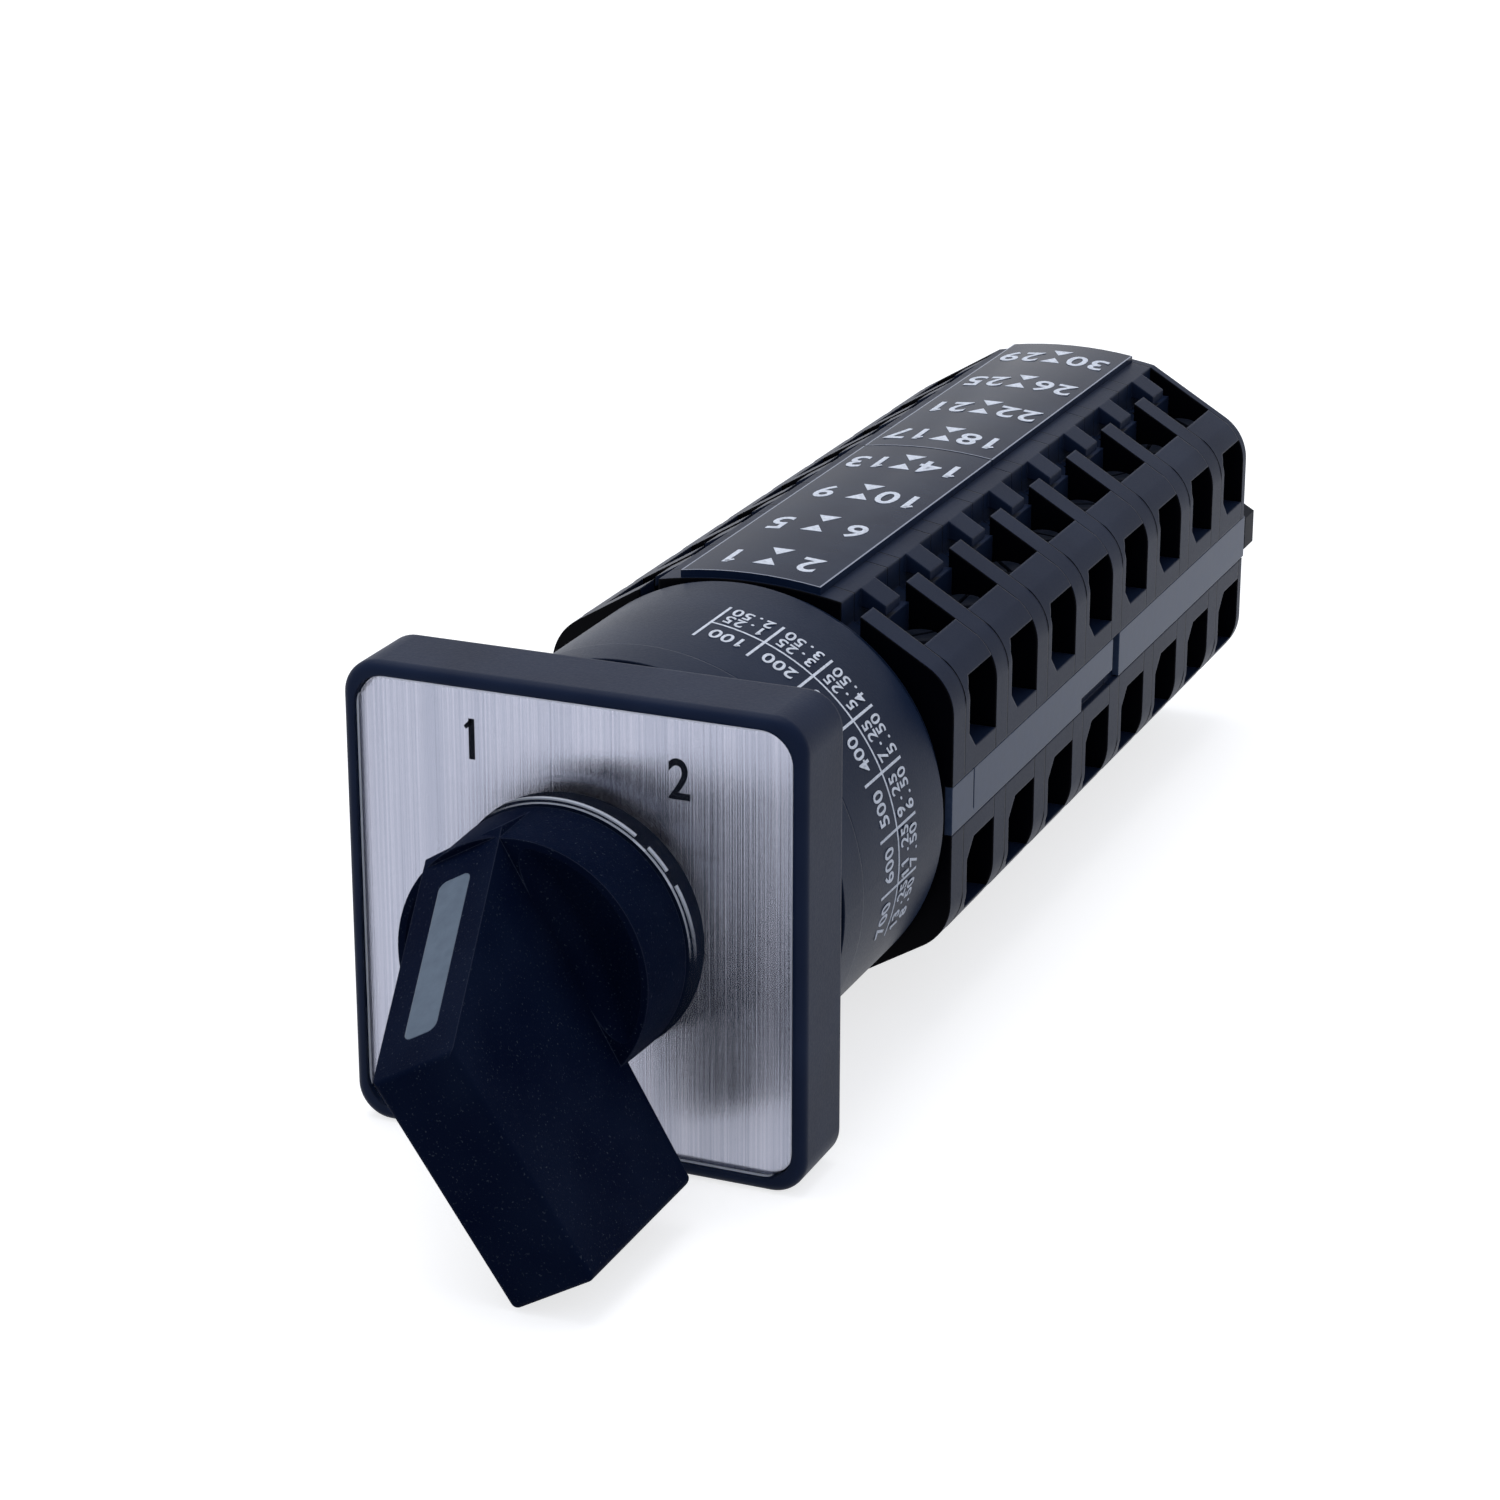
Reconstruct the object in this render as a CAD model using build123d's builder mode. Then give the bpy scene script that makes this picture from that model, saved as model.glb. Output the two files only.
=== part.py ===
from build123d import *
from math import cos, radians, sin, tan
import os

# Changeover cam switch for panel mounting: eight contact stages behind a square front
# frame, turned by a pointer knob between the positions 1 and 2.
# Millimetres. The shaft lies on the Y axis, the knob looks towards -Y and +Z is up.
# The origin is on the shaft axis, in the plane where the frame's back meets the panel.

# Driving dimensions: front frame, plate and cover
frame_size = 48.0
frame_depth = 9.0
frame_corner_radius = 3.6
plate_corner_radius = 3.3
frame_inner_radius = 2.8
frame_edge_radius = 1.0
rim_width = 1.3
recess_depth = 1.5
frame_front_wall = 2.4
frame_side_wall = 1.8
frame_tube_wall = 2.6
plate_thickness = 0.6
cover_thickness = 0.5
collar_radius = 14.0
collar_wall = 0.6
collar_height = 2.6
collar_notch_width = 1.6
collar_notch_angles = (38, 56)
insert_gap = 0.1

# Driving dimensions: mounting screws
screw_pitch = 28.0
screw_radius = 1.95
screw_head_radius = 3.4
screw_head_height = 2.0
screw_thread_depth = 8.0
screw_boss_wall = 1.6
thread_fit = 0.05

# Driving dimensions: knob
pointer_angle = 30.0
throw_angle = 60.0
skirt_base_radius = 13.2
skirt_rim_radius = 12.9
skirt_gap = 0.3
skirt_height = 7.9
skirt_lip = 0.7
dish_depth = 2.6
grip_thickness = 9.3
grip_tip_height = 33.5
grip_tail_height = 31.0
grip_tip_offset = -0.7
grip_tail_length = 25.0
grip_tail_clearance = 9.4
pointer_slant = 29.3
grip_edge_radius = 0.7
dish_blend_radius = 1.8
knob_wall = 1.9
socket_wall = 2.2
socket_depth = 17.0
strip_width = 3.8
strip_length = 19.2
strip_margin = 4.0
strip_thickness = 1.0

# Driving dimensions: shaft and its clearances
shaft_width = 6.0
shaft_edge = 0.5
shaft_fit = 0.05
shaft_tip_gap = 1.0
running_fit = 0.08
clip_thickness = 0.8
clip_radius = 5.6
spring_clip_thickness = 0.3
spring_clip_bow = 0.25
spring_clip_length = 8.0
spring_clip_width = 3.6
spring_clip_inset = 4.0

# Driving dimensions: detent housing
panel_gap = 3.7
neck_radius = 15.0
flange_radius = 22.9
flange_thickness = 5.0
groove_width = 0.6
groove_depth = 0.6
drum_radius = 22.6
drum_length = 23.3
drum_edge = 1.0
drum_wall = 1.9
hub_radius = 5.0
star_radius = 8.6
star_length = 14.0
star_notches = 6
notch_depth = 0.6
roller_radius = 2.0
roller_gap = 0.05
detent_spring_radius = 1.9
detent_spring_wall = 0.5
stop_lug_angle = 40.0
stop_lug_radius = 10.8
stop_lug_length = 3.0
stop_clearance_angle = 1.0
chamber_gap = 0.4
seat_gap = 0.1
housing_cover_radius = 21.5
housing_cover_thickness = 1.6

# Driving dimensions: contact stages
stage_count = 8
stage_pitch = 13.0
stage_half_width = 22.6
stage_side_wall = 4.7
screw_well_width = 5.2
screw_well_wall = 2.5
deck_top = 22.0
deck_arc_radius = 51.0
shoulder_angle = 31.0
shoulder_radius = 6.0
block_corner_radius = 0.3
flange_wall = 3.6
fin_slot_width = 2.1
fin_slot_depth = 3.0
tooth_start = 5.4
tooth_end = 9.4
tooth_length = 2.8
tooth_depth = 2.0
ledge_depth = 3.4
window_start = 4.8
window_low = 5.0
window_high = 12.9
window_foot_corner = 2.0
window_top_corner = 1.1
side_channel_height = 5.4
side_channel_depth = 0.8
bolt_radius = 1.95
bolt_fit = 0.15
passage_sides = 8
chamber_sides = 12
bolt_inset = 3.7
bolt_thread_depth = 10.0
bolt_head_width = 7.0
bolt_head_height = 3.8
bolt_washer_thickness = 1.0
bolt_head_sides = 6
bolt_head_turn = 30.0

# Driving dimensions: cams and contacts
cam_base_radius = 6.0
cam_lobe_height = 1.6
spiral_points = 7
cam_front = 6.3
cam_hub_radius = 4.9
cam_end_gap = 0.1
cam_foot_gap = 0.1
foot_half_width = 0.3
plunger_width = 5.0
plunger_front = 6.0
plunger_length = 6.8
guide_fit = 0.12
contact_floor = 12.6
contact_chamber_wall = 1.8
contact_chamber_top = 20.2
fixed_strip_thickness = 1.0
fixed_strip_lap = 1.5
contact_tip_width = 2.4
contact_tip_thickness = 1.2
contact_tip_length = 3.4
contact_tip_inset = 1.3
contact_gap = 0.05
bridge_end_gap = 0.6
bridge_thickness = 1.2
contact_spring_radius = 1.8
contact_spring_wall = 0.5
contact_spring_sides = 6
terminal_screw_radius = 1.5
terminal_head_radius = 2.1
terminal_head_height = 1.8
terminal_head_sides = 6
terminal_shank_sides = 4
terminal_slot_width = 3.1
clamp_thickness = 1.2
clamp_low = 7.6
clamp_fit = 0.15

# Driving dimensions: rear cover, labels and side strips
rear_cover_thickness = 2.0
rear_cover_edge = 0.6
clip_pocket_depth = 1.4
label_inset = 2.4
label_thickness = 0.8
label_gap = 0.3
stages_per_label = 4
side_strip_play = 0.1
cut_margin = 1.0
side_strip_front_length = 52.8
side_strip_break = 2.4
side_strip_cut_place = 6.5
side_strip_cut_width = 0.3
side_strip_cut_depth = 4.4
side_strip_notch_length = 11.0
side_strip_notch_height = 1.5

# Places along the shaft axis, worked out from the front towards the rear
front_face = -frame_depth
plate_back = front_face + recess_depth
plate_front = plate_back - plate_thickness
cover_front = plate_front - cover_thickness
collar_front = front_face - collar_height
skirt_base = collar_front - skirt_gap
skirt_rim = skirt_base - skirt_height
flange_front = panel_gap
flange_back = flange_front + flange_thickness
drum_front = flange_back + groove_width
drum_back = drum_front + drum_length
first_stage = drum_back + housing_cover_thickness
stack_end = first_stage + stage_count * stage_pitch
cover_back = stack_end + rear_cover_thickness
star_back = drum_back - chamber_gap
star_front = star_back - star_length
shaft_front = skirt_base - socket_depth + shaft_tip_gap
shaft_back = stack_end + clip_thickness + chamber_gap
hub_front = plate_back + chamber_gap

# Heights and widths worked out in the stage's section, from the side towards the middle
screw_well_outer = stage_half_width - stage_side_wall
screw_well_inner = screw_well_outer - screw_well_width
terminal_place = (screw_well_inner + screw_well_outer) / 2
deck_half_width = screw_well_inner - screw_well_wall
fin_end = deck_half_width + fin_slot_width
tooth_reach = deck_half_width + tooth_length
label_half_width = deck_half_width - label_inset
contact_chamber_half = deck_half_width - contact_chamber_wall
bridge_half_length = contact_chamber_half - bridge_end_gap
contact_tip_place = bridge_half_length - contact_tip_inset
fixed_strip_inner = contact_tip_place - fixed_strip_lap
bolt_place = stage_half_width - bolt_inset
shoulder_fall = tan(radians(shoulder_angle))
bridge_low = contact_floor + fixed_strip_thickness + contact_tip_thickness + contact_gap
bridge_high = bridge_low + bridge_thickness
plunger_foot = cam_base_radius + cam_foot_gap
cam_lobe_radius = cam_base_radius + cam_lobe_height
cam_chamber_radius = cam_lobe_radius + chamber_gap
grip_half = grip_thickness / 2
hub_bore_radius = hub_radius + running_fit
socket_half = shaft_width / 2 + shaft_fit


def across(y):
    """The plane across the shaft at y, with X to the right and Z up."""
    return Plane.XZ.offset(-y)


def deck_height(x):
    """Height of the arched deck at the distance x from the middle."""
    return deck_top - deck_arc_radius + (deck_arc_radius ** 2 - x ** 2) ** 0.5


def shoulder_height(x):
    """Height of the sloping shoulder at the distance x from the middle."""
    return deck_edge - (x - deck_half_width) * shoulder_fall


deck_edge = deck_height(deck_half_width)


pointer = Vector(-sin(radians(pointer_angle)), 0, cos(radians(pointer_angle)))
sideways = Vector(cos(radians(pointer_angle)), 0, sin(radians(pointer_angle)))
grip_plane = Plane(origin=(0, front_face, 0), x_dir=pointer, z_dir=sideways)

# Front frame: a square shell with a rim round the plate, four screw bosses and a tube
with BuildPart() as front_frame:
    with BuildSketch(across(front_face)):
        RectangleRounded(frame_size, frame_size, frame_corner_radius)
    extrude(amount=-frame_depth)
    fillet(front_frame.faces().sort_by(Axis.Y)[0].edges(), frame_edge_radius)
    plate_space = frame_size - 2 * rim_width
    with BuildSketch(across(front_face)):
        RectangleRounded(plate_space, plate_space, plate_corner_radius)
    extrude(amount=-recess_depth, mode=Mode.SUBTRACT)
    inner_size = frame_size - 2 * frame_side_wall
    with BuildSketch(across(0)):
        RectangleRounded(inner_size, inner_size, frame_inner_radius)
        Circle(hub_bore_radius + frame_tube_wall, mode=Mode.SUBTRACT)
        with GridLocations(screw_pitch, screw_pitch, 2, 2):
            RegularPolygon(screw_radius + seat_gap + screw_boss_wall, passage_sides, mode=Mode.SUBTRACT)
    extrude(amount=-(plate_back + frame_front_wall), mode=Mode.SUBTRACT)
    with BuildSketch(across(plate_back)):
        Circle(hub_bore_radius)
        with GridLocations(screw_pitch, screw_pitch, 2, 2):
            Circle(screw_radius + seat_gap)
    extrude(amount=plate_back, mode=Mode.SUBTRACT)
    with BuildSketch(across(plate_back)):
        with GridLocations(screw_pitch, screw_pitch, 2, 2):
            RegularPolygon(screw_head_radius + seat_gap, chamber_sides, major_radius=False)
    extrude(amount=-screw_head_height, mode=Mode.SUBTRACT)
front_frame.part.label = "front_frame"

# Label plate: thin sheet in the frame's recess, bored for the knob's collar
insert_size = plate_space - 2 * insert_gap
with BuildPart() as label_plate:
    with BuildSketch(across(plate_back)):
        RectangleRounded(insert_size, insert_size, plate_corner_radius)
        Circle(collar_radius - collar_wall, mode=Mode.SUBTRACT)
    extrude(amount=plate_thickness)
label_plate.part.label = "label_plate"

# Clear cover: a thin window over the plate, with a notched collar round the knob's skirt
with BuildPart() as clear_cover:
    with BuildSketch(across(plate_front)):
        RectangleRounded(insert_size, insert_size, plate_corner_radius)
    extrude(amount=cover_thickness)
    with BuildSketch(across(plate_front)):
        Circle(collar_radius)
    extrude(amount=plate_front - collar_front)
    with BuildSketch(across(plate_front)):
        Circle(collar_radius - collar_wall)
    extrude(amount=plate_front - collar_front, mode=Mode.SUBTRACT)
    with BuildSketch(across(cover_front)):
        for notch_angle in collar_notch_angles:
            with PolarLocations(collar_radius, 2, start_angle=90 - notch_angle):
                Rectangle(2 * collar_wall, collar_notch_width)
    extrude(amount=cover_front - collar_front, mode=Mode.SUBTRACT)
clear_cover.part.label = "clear_cover"

# Knob: a round skirt with a dished front, and a slanted grip that overhangs the skirt
slant_fall = tan(radians(pointer_slant))
skirt_rim_height = front_face - skirt_rim
skirt_base_height = front_face - skirt_base
rim_tip = grip_tip_offset + (grip_tip_height - grip_tail_clearance) * slant_fall
base_tip = grip_tip_offset + (grip_tip_height - skirt_base_height) * slant_fall
socket_end = skirt_base_height + socket_depth
spring_clip_start = socket_end - spring_clip_inset - spring_clip_length
groove_bottom = socket_half + spring_clip_thickness + spring_clip_bow
slant_plane = Plane(
    origin=grip_plane.from_local_coords((grip_tip_offset, grip_tip_height, 0)),
    x_dir=sideways,
    z_dir=grip_plane.from_local_coords((cos(radians(pointer_slant)), sin(radians(pointer_slant)), 0))
    - grip_plane.origin,
)
clip_plane = Plane(origin=(0, front_face, 0), x_dir=sideways, z_dir=-pointer)


def grip_place(shape):
    """Place of a shape's centre along the pointer, away from the plate and sideways."""
    return grip_plane.to_local_coords(shape.center())


def is_blend_edge(edge):
    """True for the two curved edges where the grip's sides meet the skirt's dish."""
    place = grip_place(edge)
    low = place.Y < skirt_rim_height and abs(place.X) < skirt_rim_radius / 2
    return low and abs(abs(place.Z) - grip_half) < seat_gap and edge.length > skirt_rim_radius / 2


def is_grip_edge(edge):
    """True for the grip's outer edges behind the pointer's ridges, in front of the skirt's rim."""
    place = grip_place(edge)
    on_side = abs(abs(place.Z) - grip_half) < seat_gap and place.Y > skirt_rim_height
    at_end = abs(place.Z) < seat_gap and (place.X < -skirt_base_radius or place.Y > grip_tail_height)
    return edge.geom_type == GeomType.LINE and place.X < 0 and (on_side or at_end)


with BuildPart() as knob:
    with BuildSketch(grip_plane):
        Polygon(
            (rim_tip, grip_tail_clearance),
            (grip_tip_offset, grip_tip_height),
            (-grip_tail_length, grip_tail_height),
            (-grip_tail_length, grip_tail_clearance),
            (skirt_lip - skirt_rim_radius, grip_tail_clearance),
            (skirt_lip - skirt_rim_radius, skirt_base_height),
            (skirt_rim_radius - skirt_lip, skirt_base_height),
            align=None,
        )
    extrude(amount=grip_half, both=True)
    with BuildSketch(grip_plane):
        with BuildLine():
            Polyline(
                (0, skirt_rim_height - dish_depth),
                (0, skirt_base_height),
                (skirt_base_radius, skirt_base_height),
                (skirt_rim_radius, skirt_rim_height),
                (skirt_rim_radius - skirt_lip, skirt_rim_height),
            )
            ThreePointArc(
                (skirt_rim_radius - skirt_lip, skirt_rim_height),
                (skirt_rim_radius * 0.6, skirt_rim_height - dish_depth * 0.8),
                (0, skirt_rim_height - dish_depth),
            )
        make_face()
    revolve(axis=Axis.Y)
    fillet(knob.edges().filter_by(is_blend_edge), dish_blend_radius)
    fillet(knob.edges().filter_by(is_grip_edge), grip_edge_radius)
    with BuildSketch(slant_plane):
        Rectangle(4 * skirt_base_radius, 4 * skirt_base_radius)
    extrude(amount=skirt_base_radius, mode=Mode.SUBTRACT)
    with BuildSketch(across(skirt_base)):
        Circle(skirt_base_radius - knob_wall)
        Circle(socket_half * 2 ** 0.5 + socket_wall, mode=Mode.SUBTRACT)
    extrude(amount=skirt_height - dish_depth - knob_wall, mode=Mode.SUBTRACT)
    with BuildSketch(across(skirt_base)):
        Rectangle(2 * socket_half, 2 * socket_half, rotation=pointer_angle)
    extrude(amount=socket_depth, mode=Mode.SUBTRACT)
    with BuildSketch(clip_plane):
        with Locations((socket_half, spring_clip_start)):
            clip_slot = (groove_bottom - socket_half + seat_gap, spring_clip_length + seat_gap)
            Rectangle(*clip_slot, align=(Align.MIN, Align.MIN))
    extrude(amount=spring_clip_width / 2 + seat_gap, both=True, mode=Mode.SUBTRACT)
    with BuildSketch(slant_plane):
        with Locations((0, strip_margin)):
            RectangleRounded(strip_width, strip_length, strip_width / 4, align=(Align.CENTER, Align.MIN))
    extrude(amount=-strip_thickness, mode=Mode.SUBTRACT)
knob.part.label = "knob"

# Indicator strip: a light insert in the grip's slanted face
with BuildPart() as knob_indicator:
    with BuildSketch(slant_plane):
        with Locations((0, strip_margin)):
            RectangleRounded(strip_width, strip_length, strip_width / 4, align=(Align.CENTER, Align.MIN))
    extrude(amount=-strip_thickness)
knob_indicator.part.label = "knob_indicator"

# Spring clip: a bowed leaf in the socket that grips the shaft
with BuildPart() as knob_clip:
    with BuildSketch(clip_plane):
        with BuildLine():
            clip_end = spring_clip_start + spring_clip_length
            clip_middle = (spring_clip_start + clip_end) / 2
            outer_bow = ThreePointArc(
                (socket_half + spring_clip_bow, spring_clip_start),
                (socket_half, clip_middle),
                (socket_half + spring_clip_bow, clip_end),
            )
            inner_bow = ThreePointArc(
                (groove_bottom, spring_clip_start),
                (socket_half + spring_clip_thickness, clip_middle),
                (groove_bottom, clip_end),
            )
            Line(outer_bow @ 0, inner_bow @ 0)
            Line(outer_bow @ 1, inner_bow @ 1)
        make_face()
    extrude(amount=spring_clip_width / 2, both=True)
knob_clip.part.label = "knob_clip"

# Mounting screws: four, through the frame and the panel into the detent housing's flange
screw_length = flange_front + screw_thread_depth - (plate_back + screw_head_height)
with BuildPart() as mounting_screws:
    with BuildSketch(across(plate_back + screw_head_height)):
        with GridLocations(screw_pitch, screw_pitch, 2, 2):
            RegularPolygon(screw_head_radius, chamber_sides)
    extrude(amount=screw_head_height - seat_gap)
    with BuildSketch(across(plate_back + screw_head_height)):
        with GridLocations(screw_pitch, screw_pitch, 2, 2):
            Circle(screw_radius)
    extrude(amount=-screw_length)
mounting_screws.part.label = "mounting_screws"


def sector(radius, middle, width):
    """A sector of a disc, its angles counted clockwise from the top as seen from the front."""
    with BuildSketch() as face:
        with BuildLine():
            rim = CenterArc((0, 0), radius, 90 - middle - width / 2, width)
            Line((0, 0), rim @ 0)
            Line((0, 0), rim @ 1)
        make_face()
    return face.sketch


# Detent housing: neck, screw flange and drum, hollow behind for the star wheel and rollers
roller_place = star_radius + roller_gap + roller_radius
well_half = roller_radius + running_fit
well_top = drum_radius - drum_wall
lug_front = star_front - stop_lug_length
stop_width = stop_lug_angle + throw_angle + 2 * stop_clearance_angle
with BuildPart() as detent_housing:
    with BuildSketch(across(0)):
        Circle(neck_radius)
    extrude(amount=-flange_front)
    with BuildSketch(across(flange_front)):
        Circle(flange_radius)
    extrude(amount=-flange_thickness)
    with BuildSketch(across(flange_back)):
        Circle(drum_radius - groove_depth)
    extrude(amount=-groove_width)
    with BuildSketch(across(drum_front)):
        Circle(drum_radius)
    extrude(amount=-drum_length)
    chamfer(detent_housing.faces().sort_by(Axis.Y)[-1].edges(), drum_edge)
    with BuildSketch(across(0)):
        Circle(hub_bore_radius)
    extrude(amount=-drum_back, mode=Mode.SUBTRACT)
    with BuildSketch(across(star_front)):
        Circle(star_radius + chamber_gap)
        Rectangle(2 * well_half, 2 * well_top)
    extrude(amount=-(drum_back - star_front), mode=Mode.SUBTRACT)
    with BuildSketch(across(lug_front)):
        add(sector(stop_lug_radius + chamber_gap, 0, stop_width))
    extrude(amount=-stop_lug_length, mode=Mode.SUBTRACT)
    with BuildSketch(across(flange_front)):
        with GridLocations(screw_pitch, screw_pitch, 2, 2):
            RegularPolygon(screw_radius + thread_fit, passage_sides, major_radius=False)
    extrude(amount=-(screw_thread_depth + chamber_gap), mode=Mode.SUBTRACT)
    with BuildSketch(across(drum_back)):
        with GridLocations(2 * bolt_place, 0, 2, 1):
            RegularPolygon(bolt_radius + thread_fit, passage_sides, major_radius=False)
    extrude(amount=bolt_thread_depth + chamber_gap, mode=Mode.SUBTRACT)
detent_housing.part.label = "detent_housing"

# Housing cover: a disc that closes the drum behind the star wheel
with BuildPart() as housing_cover:
    with BuildSketch(across(drum_back)):
        Circle(housing_cover_radius)
        passage_radius = cam_hub_radius + chamber_gap
        RegularPolygon(passage_radius, chamber_sides, major_radius=False, mode=Mode.SUBTRACT)
        with GridLocations(2 * bolt_place, 0, 2, 1):
            bolt_passage = bolt_radius + bolt_fit
            RegularPolygon(bolt_passage, passage_sides, major_radius=False, mode=Mode.SUBTRACT)
    extrude(amount=-housing_cover_thickness)
housing_cover.part.label = "housing_cover"

# Star wheel: hub, stop lug and a notched disc on the square shaft
with BuildPart() as star_wheel:
    with BuildSketch(across(hub_front)):
        Circle(hub_radius)
    extrude(amount=-(star_back - hub_front))
    with BuildSketch(across(star_front)):
        Circle(star_radius)
        with PolarLocations(roller_place - notch_depth, star_notches, start_angle=90):
            Circle(roller_radius + running_fit, mode=Mode.SUBTRACT)
    extrude(amount=-star_length)
    with BuildSketch(across(lug_front)):
        add(sector(stop_lug_radius, -throw_angle / 2, stop_lug_angle))
    extrude(amount=-stop_lug_length)
    with BuildSketch(across(hub_front)):
        Rectangle(2 * socket_half, 2 * socket_half, rotation=pointer_angle)
    extrude(amount=-(star_back - hub_front), mode=Mode.SUBTRACT)
star_wheel.part.label = "star_wheel"

# Detent rollers and their springs, above and below the star wheel
with BuildPart() as detent_rollers:
    with BuildSketch(across(star_front + seat_gap)):
        with GridLocations(0, 2 * roller_place, 1, 2):
            Circle(roller_radius)
    extrude(amount=-(star_length - seat_gap))
detent_rollers.part.label = "detent_rollers"

spring_foot = roller_place + roller_radius
with BuildPart() as detent_springs:
    with BuildSketch(Plane.XY.offset(spring_foot)):
        with Locations((0, (star_front + star_back) / 2)):
            RegularPolygon(detent_spring_radius, passage_sides)
            inner_radius = detent_spring_radius - detent_spring_wall
            RegularPolygon(inner_radius, passage_sides, mode=Mode.SUBTRACT)
    extrude(amount=well_top - spring_foot)
    mirror(about=Plane.XY)
detent_springs.part.label = "detent_springs"

# Shaft: square steel through the knob, the star wheel and all cams
with BuildPart() as shaft:
    with BuildSketch(across(shaft_front)):
        Rectangle(shaft_width, shaft_width, rotation=pointer_angle)
    extrude(amount=-(shaft_back - shaft_front))
    chamfer(shaft.faces().sort_by(Axis.Y)[0].edges(), shaft_edge)
shaft.part.label = "shaft"

with BuildPart() as shaft_clip:
    with BuildSketch(across(stack_end + seat_gap)):
        Circle(clip_radius)
        Rectangle(shaft_width, shaft_width, rotation=pointer_angle, mode=Mode.SUBTRACT)
    extrude(amount=-clip_thickness)
shaft_clip.part.label = "shaft_clip"


def stage_outline(corner_radius):
    """Outline of a stage: flat sides, sloping shoulders and slightly arched decks."""
    deck = deck_half_width
    side = stage_half_width
    corner = shoulder_height(side)
    with BuildSketch() as face:
        with BuildLine():
            top = ThreePointArc((-deck, deck_edge), (0, deck_top), (deck, deck_edge))
            bottom = ThreePointArc((-deck, -deck_edge), (0, -deck_top), (deck, -deck_edge))
            Polyline(top @ 1, (side, corner), (side, -corner), bottom @ 1)
            Polyline(top @ 0, (-side, corner), (-side, -corner), bottom @ 0)
        make_face()
        corners = face.vertices().group_by(Axis.X)
        fillet(corners[0] + corners[-1], corner_radius)
    return face.sketch


# Stage housing: rounded front wall with fins, chambers for the cam and the contacts, screw wells
# under the shoulders and wire windows in the sides, all open towards the rear
ledge_height = shoulder_height(deck_half_width) - ledge_depth
stage_depth = stage_pitch - flange_wall
window_front = first_stage + window_start
window_cut = stage_side_wall + cut_margin
chamber_height = contact_chamber_top - contact_floor
strip_slot_height = fixed_strip_thickness + guide_fit
above_deck = deck_top + cut_margin
with BuildPart() as wafer:
    with BuildSketch(across(first_stage)):
        add(stage_outline(shoulder_radius))
    extrude(amount=-flange_wall)
    with BuildSketch(across(first_stage + flange_wall)):
        add(stage_outline(block_corner_radius))
    extrude(amount=-stage_depth)
    with BuildSketch(across(first_stage)):
        Polygon(
            (deck_half_width, shoulder_height(deck_half_width) - fin_slot_depth),
            (deck_half_width, above_deck),
            (fin_end, above_deck),
            (fin_end, shoulder_height(fin_end) - fin_slot_depth),
            align=None,
        )
        mirror(about=Plane.YZ)
        mirror(about=Plane.XZ)
        with Locations((-stage_half_width, 0), (stage_half_width, 0)):
            Rectangle(2 * side_channel_depth, side_channel_height)
        RegularPolygon(passage_radius, chamber_sides, major_radius=False)
        with GridLocations(2 * bolt_place, 0, 2, 1):
            RegularPolygon(bolt_passage, passage_sides, major_radius=False)
    extrude(amount=-flange_wall, mode=Mode.SUBTRACT)
    with BuildSketch(across(first_stage + flange_wall)):
        Polygon(
            (screw_well_inner, window_low),
            (screw_well_inner, ledge_height),
            (deck_half_width, ledge_height),
            (deck_half_width, above_deck),
            (screw_well_outer, above_deck),
            (screw_well_outer, window_low),
            align=None,
        )
        mirror(about=Plane.YZ)
        mirror(about=Plane.XZ)
        with Locations((-stage_half_width, 0), (stage_half_width, 0)):
            Rectangle(2 * side_channel_depth, side_channel_height)
        RegularPolygon(cam_chamber_radius, chamber_sides, major_radius=False)
        with GridLocations(0, contact_floor + contact_chamber_top, 1, 2):
            Rectangle(2 * contact_chamber_half, chamber_height)
        with GridLocations(2 * bolt_place, 0, 2, 1):
            RegularPolygon(bolt_passage, passage_sides, major_radius=False)
    extrude(amount=-stage_depth, mode=Mode.SUBTRACT)
    with BuildSketch(across(first_stage + plunger_front - guide_fit)):
        Rectangle(plunger_width + 2 * guide_fit, 2 * contact_floor)
        with GridLocations(0, 2 * contact_floor + strip_slot_height, 1, 2):
            Rectangle(2 * screw_well_inner, strip_slot_height)
    extrude(amount=-(stage_pitch - plunger_front + guide_fit), mode=Mode.SUBTRACT)
    for side in (-1, 1):
        with BuildSketch(Plane.YZ.offset(side * screw_well_outer)):
            Polygon(
                (window_front, window_low + window_foot_corner),
                (window_front, window_high - window_top_corner),
                (window_front + window_top_corner, window_high),
                (first_stage + stage_pitch, window_high),
                (first_stage + stage_pitch, window_low),
                (window_front + window_foot_corner, window_low),
                align=None,
            )
            mirror(about=Plane.XZ)
        extrude(amount=side * window_cut, mode=Mode.SUBTRACT)
    with BuildSketch(across(first_stage + tooth_start)):
        tooth_end_height = deck_height(tooth_reach)
        Polygon(
            (deck_half_width - seat_gap, deck_edge - tooth_depth),
            (deck_half_width - seat_gap, deck_edge),
            (deck_half_width, deck_edge),
            (tooth_reach, tooth_end_height),
            (tooth_reach, tooth_end_height - tooth_depth),
            align=None,
        )
        mirror(about=Plane.YZ)
        mirror(about=Plane.XZ)
    extrude(amount=tooth_start - tooth_end)


def polar(radius, angle):
    """A point in the section, its angle counted clockwise from the top."""
    return (radius * sin(radians(angle)), radius * cos(radians(angle)))


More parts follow.
